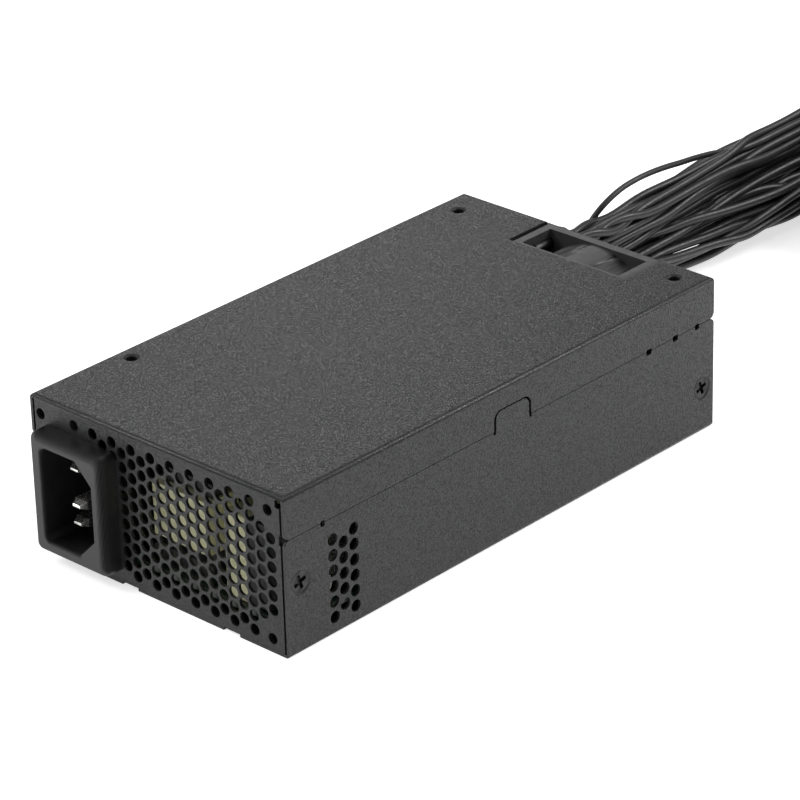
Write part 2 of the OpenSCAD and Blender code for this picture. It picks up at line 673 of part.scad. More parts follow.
module fan_rotor() {
    hub_y0 = fan_y0 + 1.2;
    hub_y1 = fan_y1 - 3.6;
    color([0.09, 0.09, 0.095]) translate([fan_x, 0, fan_z]) {
        difference() {
            union() {
                rod_y(hub_y0 + 0.6, hub_y1, fan_hub_r, 0, 0);
                rod_y(hub_y0, hub_y0 + 0.7, fan_hub_r - 0.6, 0, 0, fan_hub_r);
            }
            rod_y(hub_y0 + 1.2, hub_y1 + 1, fan_hub_r - 0.8, 0, 0);
            rod_y(hub_y0 + 0.5, hub_y1 + 1, shaft_r, 0, 0);
        }
        for (k = [0 : fan_blades - 1])
            rotate([0, k * 360 / fan_blades, 0]) translate([0, (hub_y0 + hub_y1) / 2, 0]) fan_blade();
    }
}

module fan_magnet() {
    color(ferrite) difference() {
        rod_y(fan_y0 + 2.6, fan_y1 - 3.8, fan_hub_r - 0.85, fan_x, fan_z);
        rod_y(fan_y0 + 2, fan_y1 - 3, fan_hub_r - 2.2, fan_x, fan_z);
    }
}

module fan_shaft() {
    color([0.8, 0.8, 0.82]) rod_y(fan_y0 + 1.75, fan_y1 - 1, shaft_r, fan_x, fan_z);
}

// A wire ring about the fan's axis
module guard_ring(radius, y, wire_r) {
    translate([fan_x, y, fan_z]) rotate([90, 0, 0])
        rotate_extrude($fn = 96) translate([radius, 0]) circle(wire_r, $fn = 16);
}

module fan_guard() {
    wire_r = guard_wire_r;
    spoke_y = rear_y + wire_r + 0.05;
    ring_y = spoke_y + 1.9 * wire_r;
    eye_r = 2.5;
    reach = fan_screw_pitch / sqrt(2);
    color([0.1, 0.1, 0.1]) {
        for (radius = [4.5, 9, 13.5, 18]) guard_ring(radius, ring_y, wire_r);
        for (turn = [45 : 90 : 315]) translate([fan_x, 0, fan_z]) rotate([0, turn, 0]) {
            rod_x(3.9, reach - eye_r + 0.3, wire_r, spoke_y, 0);
            translate([reach, spoke_y, 0]) rotate([90, 0, 0])
                rotate_extrude($fn = 48) translate([eye_r, 0]) circle(wire_r, $fn = 16);
        }
    }
}

module fan_screw() {
    head_y = rear_y + 2 * guard_wire_r + 0.1;
    difference() {
        union() {
            rod_y(head_y, head_y + 1.6, 3, 0, 0, 2.3);
            rod_y(rear_y - 9, head_y + 0.1, 1.6, 0, 0);
        }
        for (turn = [0, 90]) rotate([0, turn + 30, 0])
            block([-1.5, head_y + 0.7, -0.4], [1.5, head_y + 3, 0.4]);
    }
}

module fan_screws() {
    color([0.12, 0.12, 0.12]) for (x = [-1, 1], z = [-1, 1])
        translate([fan_x + x * fan_screw_pitch / 2, 0, fan_z + z * fan_screw_pitch / 2]) fan_screw();
}

// The fan's two leads, side by side, from the frame down to the plug
module fan_lead() {
    for (i = [0, 1]) let (x = fan_x + 15.5 + 1.6 * i, plug_x = 28 + 1.8 * i)
        color(i == 0 ? [0.6, 0.08, 0.06] : black)
            inner_lead([[x, fan_y0 - 0.02, 8], [x, 58.2, 8], [x + 0.4, 57, 8.6], [plug_x - 2, 55, 10.2],
                        [plug_x, 53, 10], [plug_x, 51.5, 10], [plug_x, 49.6, 10]], 0.6);
}

module fan_plug() {
    color([0.9, 0.9, 0.86]) {
        block([26, 43, board_top], [31.8, 49.6, board_top + 6]);
        block([26.8, 42.2, board_top], [31, 43.1, board_top + 4]);
    }
}

// ---------- board and what stands on it ----------

module main_board() {
    color(board_green) difference() {
        union() {
            block([-38.4, -50, board_z], [38.4, 52.6, board_top]);
            block([-11, -72, board_z], [38.4, -49, board_top]);
        }
        for (p = standoffs) translate([p[0], p[1], 0]) cylinder(h = 20, r = 1.7);
    }
}

module board_standoffs() {
    color(brass) for (p = standoffs) difference() {
        translate([p[0], p[1], sheet_t]) cylinder(h = board_z - sheet_t, r = 2.9, $fn = 6);
        translate([p[0], p[1], sheet_t - 1]) cylinder(h = board_z + 2, r = 1.25);
    }
}

module board_screws() {
    color([0.75, 0.75, 0.72]) for (p = standoffs) difference() {
        union() {
            translate([p[0], p[1], board_top]) cylinder(h = 1.8, r1 = 2.8, r2 = 2.2);
            translate([p[0], p[1], board_top - 5]) cylinder(h = 5.1, r = 1.2);
        }
        for (turn = [0, 90]) translate([p[0], p[1], board_top + 1]) rotate(turn + 15)
            translate([-1.4, -0.35, 0]) cube([2.8, 0.7, 2]);
    }
}

// Mains filter choke: a closed ferrite core in a base, wound and wrapped in tape
module filter_choke_base() {
    color(black) block([choke_x0 - 0.6, choke_y0 + 0.4, board_top],
                       [choke_x1 + 0.6, choke_y1 + 0.6, choke_z0 - 2.6]);
}

module filter_choke_core() {
    mid = (choke_x0 + choke_x1) / 2;
    color(ferrite) difference() {
        block([choke_x0 + 1, choke_y0 + 2.6, choke_z0 - 2.6],
              [choke_x1 - 1, choke_y1 - 2.6, choke_z1 + 3.4]);
        block([mid - 3, choke_y0, choke_z0 - 0.1], [mid + 3, choke_y1, choke_z1 + 0.4]);
    }
}

module filter_choke_winding() {
    color(tape_yellow) difference() {
        block([choke_x0, choke_y0, choke_z0], [choke_x1, choke_y1, choke_z1]);
        mid = (choke_x0 + choke_x1) / 2;
        for (s = [-1, 1]) block([mid + min(s * 3, s * 8), choke_y0 + 2.6, choke_z0 - 1],
                                [mid + max(s * 3, s * 8), choke_y1 - 2.6, choke_z1 + 1]);
        block([mid - 0.2, choke_y0 + 2.6, choke_z0 - 1], [mid + 0.2, choke_y1 + 1, choke_z1 + 1]);
    }
}

module x_capacitor() {
    color(tape_yellow) block([17.4, -71, board_top], [24.8, -54, 28.4]);
}

// Relay in a tall closed case, beside the capacitor
module inrush_relay() {
    color(black) {
        block([25.1, -71, board_top + 0.4], [31.4, -61.4, 28.6]);
        for (x = [26.4, 29.2], y = [-70, -63.4])
            block([x, y, board_top], [x + 1, y + 1, board_top + 0.5]);
    }
}

module y_capacitors() {
    color([0.15, 0.35, 0.60]) for (x = [-4, 6]) {
        rod_y(-55.5, -52.3, 4.2, x, board_top + 6.4);
        for (dx = [-2.5, 2.5]) translate([x + dx, -53.9, board_top]) cylinder(h = 4, r = 0.4, $fn = 16);
    }
}

module fuse() {
    color([0.75, 0.72, 0.62]) {
        rod_x(28.2, 35.2, 2.6, -58, board_top + 3);
        for (x = [28.2, 33.6]) rod_x(x, x + 1.6, 2.9, -58, board_top + 3);
        for (x = [29, 34.4]) translate([x, -58, board_top]) cylinder(h = 3, r = 0.4, $fn = 16);
    }
}

module bridge_rectifier() {
    color(black) difference() {
        block([29.6, -52, board_top + 3], [33, -34, board_top + 20]);
        rod_x(29, 34, 1.7, -43, board_top + 16);
    }
    color(brass) for (k = [0 : 3])
        block([30.8, -50.4 + k * 4.6, board_top], [31.8, -49.4 + k * 4.6, board_top + 3.1]);
}

module primary_heatsink() {
    color(aluminium) {
        difference() {
            block([33.1, -54, board_top + 1], [35.1, 12, 36]);
            for (y = [-43, -20, -4]) rod_x(33, 36, 1.6, y, board_top + 16);
        }
        block([29.6, -54, 36], [35.1, 12, 37.6]);
    }
}

// Transistor in a flat case, against a plate whose face is at x; side is where it stands off the plate
module flat_transistor(x, y, side) {
    x0 = min(x, x + side * 4.4);
    color(black) difference() {
        block([x0, y - 5, board_top + 4], [x0 + 4.4, y + 5, board_top + 19]);
        rod_x(x0 - 1, x0 + 5.4, 1.7, y, board_top + 16);
    }
    for (k = [-1 : 1]) color(brass)
        block([x0 + 1.8, y + k * 2.54 - 0.4, board_top], [x0 + 2.6, y + k * 2.54 + 0.4, board_top + 4.1]);
}

module primary_transistors() {
    for (y = [-20, -4]) flat_transistor(33.05, y, -1);
}

module secondary_heatsink() {
    color(aluminium) {
        difference() {
            block([-36.2, -12, board_top + 1], [-34.2, 34, 36]);
            for (y = [2, 18]) rod_x(-37, -33, 1.6, y, board_top + 16);
        }
        block([-36.2, -12, 36], [-29, 34, 37.6]);
    }
}

module output_rectifiers() {
    for (y = [2, 18]) flat_transistor(-34.15, y, 1);
}

module bulk_capacitor() {
    color([0.10, 0.12, 0.22]) difference() {
        translate([-22, -32, board_top + 0.2]) cylinder(h = 30.5, r = 11);
        translate([-22, -32, board_top + 30.3]) cylinder(h = 1, r = 9.6);
        for (turn = [0, 60, 120]) translate([-22, -32, board_top + 30]) rotate(turn)
            translate([-7, -0.15, 0]) cube([14, 0.3, 1]);
    }
}

// A toroid lying flat: bare core, and turns around it as a group of bands
module toroid_core(x, y, z, outer, inner, height) {
    color([0.35, 0.50, 0.30]) difference() {
        translate([x, y, z]) cylinder(h = height, r = outer);
        translate([x, y, z - 1]) cylinder(h = height + 2, r = inner);
    }
}

module toroid_turns(x, y, z, outer, inner, height, turns, wire) {
    color(copper) for (k = [0 : turns - 1]) translate([x, y, 0]) rotate(k * 330 / turns) difference() {
        block([inner - wire, -wire / 2, z - wire], [outer + wire, wire / 2, z + height + wire]);
        block([inner - 0.02, -wire, z - 0.02], [outer + 0.02, wire, z + height + 0.02]);
    }
}

module pfc_choke_core() { toroid_core(14, -36, board_top + 1.4, 12.4, 6.4, 11); }
module pfc_choke_winding() { toroid_turns(14, -36, board_top + 1.4, 12.45, 6.35, 11, 26, 1.1); }
module output_choke_core() { toroid_core(17, 33, board_top + 1.4, 10.6, 5.2, 10); }
module output_choke_winding() { toroid_turns(17, 33, board_top + 1.4, 10.65, 5.15, 10, 16, 1.2); }

module transformer_core() {
    color(ferrite) {
        difference() {
            block([-9, -17, board_top + 4], [17, 11, board_top + 28]);
            block([-5, -18, board_top + 8], [13, 12, board_top + 24]);
        }
        translate([4, -3, board_top + 7]) cylinder(h = 18, r = 4.6);
    }
}

module transformer_winding() {
    color(tape_yellow) difference() {
        translate([4, -3, board_top + 8.4]) cylinder(h = 15.2, r = 8.9);
        translate([4, -3, board_top + 8]) cylinder(h = 17, r = 4.8);
    }
    color(black) difference() {
        block([-4.8, -18.5, board_top], [12.8, 12.5, board_top + 3.9]);
        block([-2, -14, board_top - 1], [10, 8, board_top + 5]);
    }
}

module standby_transformer() {
    color(tape_yellow) block([-15, 17, board_top + 3], [-1, 31, board_top + 15]);
    color(ferrite) for (z = [board_top, board_top + 15.05])
        block([-15, 18, z], [-1, 30, z + 2.9]);
}

module output_capacitors() {
    color([0.10, 0.10, 0.12])
        for (p = [[-25, 12], [-25, 24], [-24, 37], [-12, 38], [-1, 41], [30, 20]]) difference() {
            translate([p[0], p[1], board_top + 0.2]) cylinder(h = 20, r = 4.6);
            translate([p[0], p[1], board_top + 20]) cylinder(h = 1, r = 3.8);
        }
}

module control_board() {
    color(board_green) block([22.5, -14, board_top], [24.1, 10, 32]);
    color(black) {
        block([24.15, -9, 14], [25.9, 1, 20]);
        block([24.15, 3, 22], [25.5, 8, 28]);
    }
}

// Standing board that the harness is soldered to
module output_board() {
    color(board_green) block([-38, output_board_y, board_top], [-13.8, output_board_y + 1.6, 33]);
}

// ---------- wire outlet and harness ----------

module cable_grommet() {
    inner_w = outlet_w - 2 * grommet_wall;
    inner_h = outlet_h - 2 * grommet_wall;
    color(black) difference() {
        union() {
            along_y(rear_y - sheet_t - 2, rear_y) translate([outlet_x, outlet_z])
                rounded_rect(outlet_w - 0.1, outlet_h - 0.1, 2.95);
            along_y(rear_y, rear_y + 1.4) translate([outlet_x, outlet_z])
                rounded_rect(outlet_w + 3, outlet_h + 3, 4.5);
        }
        along_y(rear_y - 5, rear_y + 3) translate([outlet_x, outlet_z]) rounded_rect(inner_w, inner_h, 1.6);
    }
}

module main_cable() { color(black) bundle(main_route, 3, 12); }
module cpu_cable() { color(black) bundle(cpu_route, 3, 8); }
module drive_cable() { color(black) bundle(drive_route, 3, 8); }

// Wire-to-board housing with two rows of contacts; place is the foot of its wire side, moved dx along X
module two_row_plug(place, dx, columns, latched) {
    x = place[0] + dx;
    y = place[1];
    z = place[2];
    w = contact_pitch * columns + 1.2;
    body_l = 8;
    tower = 3.7;
    color(black) difference() {
        union() {
            block([x - w / 2, y - body_l, z], [x + w / 2, y, z + plug_h]);
            for (c = [0 : columns - 1], r = [0, 1]) {
                cx = x + (c - (columns - 1) / 2) * contact_pitch;
                cz = z + plug_h / 2 + (r - 0.5) * contact_pitch;
                block([cx - tower / 2, y - plug_l, cz - tower / 2],
                      [cx + tower / 2, y - body_l + 0.1, cz + tower / 2]);
            }
            if (latched) {
                block([x - 2.6, y - 9.6, z + plug_h - 0.1], [x + 2.6, y - 7.4, z + plug_h + 2.3]);
                block([x - 2.6, y - 17, z + plug_h + 1.1], [x + 2.6, y - 0.8, z + plug_h + 2.3]);
                block([x - 2.6, y - 18, z + plug_h + 0.3], [x + 2.6, y - 16.4, z + plug_h + 2.3]);
            }
        }
        for (c = [0 : columns - 1], r = [0, 1]) {
            cx = x + (c - (columns - 1) / 2) * contact_pitch;
            cz = z + plug_h / 2 + (r - 0.5) * contact_pitch;
            rod_y(y - 3, y + 1, 1.5, cx, cz);
            block([cx - 1.15, y - plug_l - 1, cz - 1.15], [cx + 1.15, y - plug_l + 9, cz + 1.15]);
        }
    }
}

module main_connector() { two_row_plug(main_plug, 0, 12, true); }
module cpu_connector_a() { two_row_plug(cpu_plug, -4.85, 2, false); }
module cpu_connector_b() { two_row_plug(cpu_plug, 4.85, 2, true); }

// Flat drive power plug with an L-shaped slot
module drive_connector() {
    w = 23.6;
    h = 6.8;
    l = 17;
    x0 = drive_plug[0] - w / 2;
    y0 = drive_plug[1] - l;
    z0 = drive_plug[2];
    color(black) difference() {
        union() {
            block([x0, y0, z0], [x0 + w, y0 + 10, z0 + h]);
            block([x0 + 1.5, y0 + 9.9, z0], [x0 + w - 1.5, drive_plug[1], z0 + 5.2]);
            block([x0 + w / 2 - 3, y0 + 3, z0 + h - 0.1], [x0 + w / 2 + 3, y0 + 10, z0 + h + 1]);
        }
        block([x0 + 1.3, y0 - 1, z0 + 2.2], [x0 + w - 1.3, y0 + 7, z0 + 4.3]);
        block([x0 + 1.3, y0 - 1, z0 + 2.2], [x0 + 3.4, y0 + 7, z0 + 5.6]);
        for (k = [0 : 3])
            rod_y(drive_plug[1] - 4, drive_plug[1] + 1, 1.2, drive_plug[0] + (k - 1.5) * 3.8, z0 + 2.9);
    }
}

// Strap round both runs of the folded harness, with its head on top
module cable_tie() {
    lo = [-37.4, 0.2];
    hi = [14.9, 30];
    strap = 1.1;
    r = 7;
    mid = (lo + hi) / 2;
    size = hi - lo;
    color(black) {
        along_y(tie_y - 2.3, tie_y + 2.3) translate(mid) difference() {
            rounded_rect(size[0], size[1], r);
            rounded_rect(size[0] - 2 * strap, size[1] - 2 * strap, r - strap);
        }
        block([mid[0] - 4, tie_y - 3.6, hi[1] - 0.6], [mid[0] + 2, tie_y + 3.6, hi[1] + 3.4]);
        block([mid[0] + 1.9, tie_y - 2.3, hi[1] + 0.9], [mid[0] + 12, tie_y + 2.3, hi[1] + 2]);
    }
}

chassis();
cover();
case_screws();
insulator_sheet();
inlet_body();
inlet_pin_line();
inlet_pin_neutral();
inlet_pin_earth();
mains_lead_line();
mains_lead_neutral();
earth_lead();
earth_terminal();
earth_screw();
fan_frame();
fan_bearing();
fan_stator();
fan_board();
fan_rotor();
fan_magnet();
fan_shaft();
fan_guard();
fan_screws();
fan_lead();
fan_plug();
main_board();
board_standoffs();
board_screws();
filter_choke_core();
filter_choke_winding();
filter_choke_base();
x_capacitor();
inrush_relay();
y_capacitors();
fuse();
bridge_rectifier();
bulk_capacitor();
pfc_choke_core();
pfc_choke_winding();
primary_heatsink();
primary_transistors();
transformer_core();
transformer_winding();
standby_transformer();
secondary_heatsink();
output_rectifiers();
output_choke_core();
output_choke_winding();
output_capacitors();
control_board();
output_board();
cable_grommet();
main_cable();
cpu_cable();
drive_cable();
main_connector();
cpu_connector_a();
cpu_connector_b();
drive_connector();
cable_tie();
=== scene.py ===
"""The look of a slim computer power supply: materials, soft edges and single wires over its frame."""

import json
import math

import bpy
import numpy as np
from mathutils import Matrix, Vector


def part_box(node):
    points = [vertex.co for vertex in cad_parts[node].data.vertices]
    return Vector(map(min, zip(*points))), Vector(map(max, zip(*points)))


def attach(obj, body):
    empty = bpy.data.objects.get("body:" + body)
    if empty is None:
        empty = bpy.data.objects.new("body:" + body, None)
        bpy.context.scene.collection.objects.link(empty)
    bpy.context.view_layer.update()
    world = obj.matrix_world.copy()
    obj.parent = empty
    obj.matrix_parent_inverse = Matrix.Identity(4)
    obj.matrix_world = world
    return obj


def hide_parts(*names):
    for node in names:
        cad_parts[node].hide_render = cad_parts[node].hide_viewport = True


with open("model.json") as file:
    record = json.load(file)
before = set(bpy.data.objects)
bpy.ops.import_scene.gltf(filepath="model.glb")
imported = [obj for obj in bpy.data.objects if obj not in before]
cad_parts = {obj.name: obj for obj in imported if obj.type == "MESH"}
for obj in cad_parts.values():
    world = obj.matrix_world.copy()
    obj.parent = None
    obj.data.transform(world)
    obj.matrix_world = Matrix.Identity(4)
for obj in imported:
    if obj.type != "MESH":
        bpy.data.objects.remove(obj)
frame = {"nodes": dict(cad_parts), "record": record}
bpy.context.view_layer.update()
nodes = frame["nodes"]
MM = 0.001
CASE = "case"

# The three cables' routes, as in the frame: [x, y, z, half width, half height] in metres
main_route = [
    [-0.0263, 0.0526, 0.0132, 0.0074, 0.0074], [-0.0263, 0.064, 0.0132, 0.0074, 0.0074],
    [-0.0263, 0.077, 0.0132, 0.0074, 0.0074], [-0.0252, 0.095, 0.011, 0.008, 0.008],
    [-0.0254, 0.115, 0.01, 0.0084, 0.0084], [-0.0242, 0.14, 0.0096, 0.0085, 0.0085],
    [-0.0236, 0.165, 0.0101, 0.0099, 0.0099], [-0.0234, 0.19, 0.0101, 0.0099, 0.0099],
    [-0.0236, 0.215, 0.0101, 0.0098, 0.0098], [-0.024, 0.24, 0.0106, 0.009, 0.009],
    [-0.026, 0.252, 0.0102, 0.0092, 0.0092], [-0.027, 0.262, 0.0098, 0.0093, 0.0093],
    [-0.0224, 0.2734, 0.0098, 0.0093, 0.0093], [-0.011, 0.278, 0.0098, 0.0093, 0.0093],
    [0.0004, 0.2734, 0.0098, 0.0093, 0.0093], [0.005, 0.262, 0.0098, 0.0093, 0.0093],
    [0.004, 0.252, 0.0102, 0.0092, 0.0092], [0.0015, 0.24, 0.0106, 0.009, 0.009],
    [0.004, 0.228, 0.009, 0.013, 0.008], [0.0105, 0.217, 0.0068, 0.019, 0.006],
    [0.0145, 0.209, 0.005, 0.023, 0.0046], [0.0145, 0.206, 0.0048, 0.024, 0.0043],
    [0.0145, 0.203, 0.0048, 0.024, 0.0043]
]
cpu_route = [
    [-0.022, 0.0526, 0.0244, 0.0036, 0.0036], [-0.022, 0.064, 0.0244, 0.0036, 0.0036],
    [-0.022, 0.077, 0.0244, 0.0036, 0.0036], [-0.0218, 0.095, 0.0234, 0.0038, 0.0038],
    [-0.0222, 0.115, 0.0229, 0.004, 0.004], [-0.0229, 0.14, 0.0236, 0.004, 0.004],
    [-0.024, 0.165, 0.0243, 0.004, 0.004], [-0.0242, 0.19, 0.0243, 0.004, 0.004],
    [-0.0256, 0.215, 0.0241, 0.004, 0.004], [-0.0238, 0.24, 0.0243, 0.0042, 0.0042],
    [-0.0238, 0.252, 0.024, 0.0043, 0.0043], [-0.025, 0.262, 0.024, 0.0044, 0.0044],
    [-0.0209, 0.2719, 0.024, 0.0044, 0.0044], [-0.011, 0.276, 0.024, 0.0044, 0.0044],
    [-0.0011, 0.2719, 0.024, 0.0044, 0.0044], [0.003, 0.262, 0.024, 0.0044, 0.0044],
    [0.002, 0.252, 0.0242, 0.0043, 0.0043], [0, 0.24, 0.0243, 0.0042, 0.0042],
    [-0.001, 0.228, 0.022, 0.005, 0.0042], [-0.0003, 0.216, 0.0182, 0.007, 0.004],
    [0.0002, 0.207, 0.0148, 0.0082, 0.004], [0.0002, 0.2035, 0.0144, 0.0084, 0.004],
    [0.0002, 0.2, 0.0144, 0.0084, 0.004]
]
drive_route = [
    [-0.031, 0.0526, 0.0242, 0.0029, 0.0029], [-0.031, 0.064, 0.0242, 0.0029, 0.0029],
    [-0.031, 0.077, 0.0242, 0.0029, 0.0029], [-0.0338, 0.095, 0.0186, 0.0029, 0.0029],
    [-0.035, 0.115, 0.0162, 0.0029, 0.0029], [-0.0342, 0.14, 0.0154, 0.0029, 0.0029],
    [-0.0344, 0.165, 0.0186, 0.003, 0.003], [-0.0342, 0.19, 0.0188, 0.003, 0.003],
    [-0.0341, 0.215, 0.02, 0.0032, 0.0032], [-0.0325, 0.24, 0.0206, 0.0034, 0.0034],
    [-0.0335, 0.252, 0.021, 0.0035, 0.0035], [-0.034, 0.262, 0.0212, 0.0036, 0.0036],
    [-0.0273, 0.2783, 0.0212, 0.0036, 0.0036], [-0.011, 0.285, 0.0212, 0.0036, 0.0036],
    [0.0053, 0.2783, 0.0212, 0.0036, 0.0036], [0.012, 0.262, 0.0212, 0.0036, 0.0036],
    [0.0115, 0.252, 0.021, 0.0035, 0.0035], [0.01, 0.24, 0.0206, 0.0034, 0.0034],
    [0.014, 0.228, 0.0196, 0.0038, 0.0034], [0.021, 0.217, 0.0162, 0.005, 0.0028],
    [0.0295, 0.2085, 0.0128, 0.007, 0.0019], [0.0295, 0.206, 0.0124, 0.0074, 0.0016],
    [0.0295, 0.2035, 0.0124, 0.0074, 0.0016]
]
# The thin wire that stands out of the bundle in a bow behind the case: [x, y, z]
bow_route = [
    [-0.029, 0.0526, 0.020], [-0.029, 0.077, 0.0205], [-0.0284, 0.094, 0.0186],
    [-0.0277, 0.103, 0.0188], [-0.0273, 0.107, 0.0218], [-0.0270, 0.1095, 0.0250],
    [-0.0262, 0.1135, 0.0282], [-0.0261, 0.1196, 0.0302], [-0.0262, 0.126, 0.0308],
    [-0.0265, 0.1323, 0.0306], [-0.027, 0.1392, 0.0298], [-0.0276, 0.1463, 0.0286],
    [-0.0286, 0.154, 0.0272], [-0.0294, 0.163, 0.0254], [-0.0298, 0.176, 0.0222],
]
# Along Y: where the wires come free of the case, where the bow is back in the bundle, and the tie
FREE_Y = 0.080
BOW_END_Y = 0.208
SORT_Y = 0.236  # the returning wires are put in order here, just before the tie
TIE_Y = 0.240
TIE_HOLD = 0.012  # how far before the tie the wires stop wandering
EASE = 0.030  # the stretch over which they start and stop
SWING = 0.6  # how far they wander round the middle of the bundle, in radians
DRAW_IN = 0.10  # and how far inwards on average, as a share of their distance from the middle
TURN_IN = 0.024  # the stretch in which a wire turns towards its hole
FLOOR_GAP = 0.1 * MM

# Wire diameters
MAIN_WIRE = 2.3 * MM
THIN_WIRE = 1.6 * MM
CPU_WIRE = 2.2 * MM
DRIVE_WIRE = 2.1 * MM
THIN = (4, 9, 17)  # the main cable's signal wires
BOW = 4  # the one of them that follows bow_route
CPU_SEED = 31  # where the other cables' wires start to be numbered, so that each wanders its own way
DRIVE_SEED = 53

# Connectors: distance between contacts, height of their middle, how deep a wire goes in
# and how far it runs straight in front of its hole
CONTACT_PITCH = 4.2 * MM
MAIN_CONTACT_Z = 4.8 * MM
CPU_CONTACT_Z = 14.4 * MM
CONTACT_DEPTH = 2.4 * MM
CONTACT_STRAIGHT = 5 * MM
EMPTY_CONTACT = 9  # the main connector's hole without a wire
DRIVE_PITCH = 3.8 * MM
DRIVE_CONTACT_UP = 2.9 * MM
DRIVE_DEPTH = 3.4 * MM
DRIVE_STRAIGHT = 4 * MM

# Camera
AZIMUTH, ELEVATION, ROLL = (math.radians(a) for a in (43.686, 26.593, -1.727))
DISTANCE = 0.9414
LENS = 177.46
SHIFT = (0.0215, 0.0134)
CASE_MIDDLE = (0, 0, 0.020)

# Width in mm of the softened edges of the frame's nodes
EDGES = {
    "cover": 0.2, "chassis": 0.35, "inlet_body": 0.3, "fan_frame": 0.2, "case_screws": 0.08,
    "cable_grommet": 0.3, "inlet_pin_line": 0.15, "inlet_pin_neutral": 0.15,
    "inlet_pin_earth": 0.15, "cable_tie": 0.15, "main_connector": 0.15, "cpu_connector_a": 0.15,
    "cpu_connector_b": 0.15, "drive_connector": 0.2, "filter_choke_winding": 0.5,
    "x_capacitor": 0.6, "filter_choke_core": 0.3, "filter_choke_base": 0.3,
}


# ---------- camera, floor and light ----------

def make_camera():
    """A long lens, turned a little about its own axis."""
    back = Vector((
        math.sin(AZIMUTH) * math.cos(ELEVATION),
        -math.cos(AZIMUTH) * math.cos(ELEVATION),
        math.sin(ELEVATION),
    ))
    level = Vector((math.cos(AZIMUTH), math.sin(AZIMUTH), 0))
    upright = back.cross(level)
    right = math.cos(ROLL) * level + math.sin(ROLL) * upright
    up = back.cross(right)
    cam = bpy.data.objects.new("camera", bpy.data.cameras.new("camera"))
    bpy.context.collection.objects.link(cam)
    turn = Matrix((right, up, back)).transposed().to_4x4()
    cam.matrix_world = Matrix.Translation(Vector(CASE_MIDDLE) + back * DISTANCE) @ turn
    cam.data.lens = LENS
    cam.data.shift_x, cam.data.shift_y = SHIFT
    cam.data.clip_start = 0.05
    cam.data.clip_end = 20
    bpy.context.scene.camera = cam


def area_light(name, place, size, power):
    """A white panel that faces the case."""
    data = bpy.data.lights.new(name, "AREA")
    data.shape = "RECTANGLE"
    data.size, data.size_y = size
    data.energy = power
    lamp = bpy.data.objects.new(name, data)
    lamp.location = place
    lamp.rotation_mode = "QUATERNION"
    aim = Vector(CASE_MIDDLE) - Vector(place)
    lamp.rotation_quaternion = aim.to_track_quat("-Z", "Y")
    bpy.context.collection.objects.link(lamp)


def make_light():
    """A white room with four panels.

    One is overhead, a dim one behind the case brings out the grain of its top, and the last two
    light its front and its +X side.
    """
    world = bpy.data.worlds.new("studio")
    world.use_nodes = True
    background = world.node_tree.nodes["Background"]
    background.inputs["Color"].default_value = (1, 1, 1, 1)
    background.inputs["Strength"].default_value = 0.35
    bpy.context.scene.world = world
    area_light("overhead", (-0.2, 0.3, 1.3), (1.5, 1.5), 3)
    area_light("back", (-0.95, 0.88, 0.66), (0.5, 0.35), 1.1)
    area_light("front_left", (-0.93, -0.70, 0.97), (0.5, 0.5), 8)
    area_light("right", (0.65, 0.95, 0.9), (0.6, 0.6), 11)
    bpy.context.scene.view_settings.view_transform = "Standard"


def make_floor():
    """A plain floor for the picture only."""
    bpy.ops.mesh.primitive_plane_add(size=8, location=(0, 0, 0))
    floor = bpy.context.object
    floor.name = "floor"
    floor.data.materials.append(floor_paint())


# ---------- materials ----------

class Paint:
    """A procedural material: colour, roughness and bump come from noise in the object's space."""

    def __init__(self, name, roughness=0.5, metallic=0.0, specular=0.5, coat=0.0):
        self.material = bpy.data.materials.new(name)
        self.material.use_nodes = True
        self.tree = self.material.node_tree
        self.shader = self.tree.nodes["Principled BSDF"]
        self.shader.inputs["Roughness"].default_value = roughness
        self.shader.inputs["Metallic"].default_value = metallic
        self.shader.inputs["Specular IOR Level"].default_value = specular
        self.shader.inputs["Coat Weight"].default_value = coat
        self.coordinates = self.tree.nodes.new("ShaderNodeTexCoord").outputs["Object"]
        self.bumps = None

    def noise(self, grain, detail=2.0):
        """Noise whose features are about grain metres across."""
        mapping = self.tree.nodes.new("ShaderNodeMapping")
        mapping.inputs["Scale"].default_value = [1 / grain] * 3
        self.tree.links.new(self.coordinates, mapping.inputs["Vector"])
        texture = self.tree.nodes.new("ShaderNodeTexNoise")
        texture.inputs["Scale"].default_value = 1.0
        texture.inputs["Detail"].default_value = detail
        self.tree.links.new(mapping.outputs["Vector"], texture.inputs["Vector"])
        return texture.outputs["Fac"]

    def colour(self, value, dark, light, low=0.35, high=0.65):
        """Base colour: dark up to the value low, light from the value high."""
        node = self.tree.nodes.new("ShaderNodeValToRGB")
        for element, position, shade in zip(node.color_ramp.elements, (low, high), (dark, light)):
            element.position = position
            element.color = (*shade, 1)
        self.tree.links.new(value, node.inputs["Fac"])
        self.tree.links.new(node.outputs["Color"], self.shader.inputs["Base Color"])

    def rough(self, value, low, high):
        """Roughness: low where the value is 0.3, high where it is 0.7."""
        node = self.tree.nodes.new("ShaderNodeMapRange")
        node.inputs["From Min"].default_value = 0.3
        node.inputs["From Max"].default_value = 0.7
        node.inputs["To Min"].default_value = low
        node.inputs["To Max"].default_value = high
        self.tree.links.new(value, node.inputs["Value"])
        self.tree.links.new(node.outputs["Result"], self.shader.inputs["Roughness"])

    def bump(self, value, depth, strength=1.0):
        """Adds relief of about depth metres to what is already there."""
        node = self.tree.nodes.new("ShaderNodeBump")
        node.inputs["Distance"].default_value = depth
        node.inputs["Strength"].default_value = strength
        self.tree.links.new(value, node.inputs["Height"])
        if self.bumps:
            self.tree.links.new(self.bumps, node.inputs["Normal"])
        self.bumps = node.outputs["Normal"]
        self.tree.links.new(self.bumps, self.shader.inputs["Normal"])


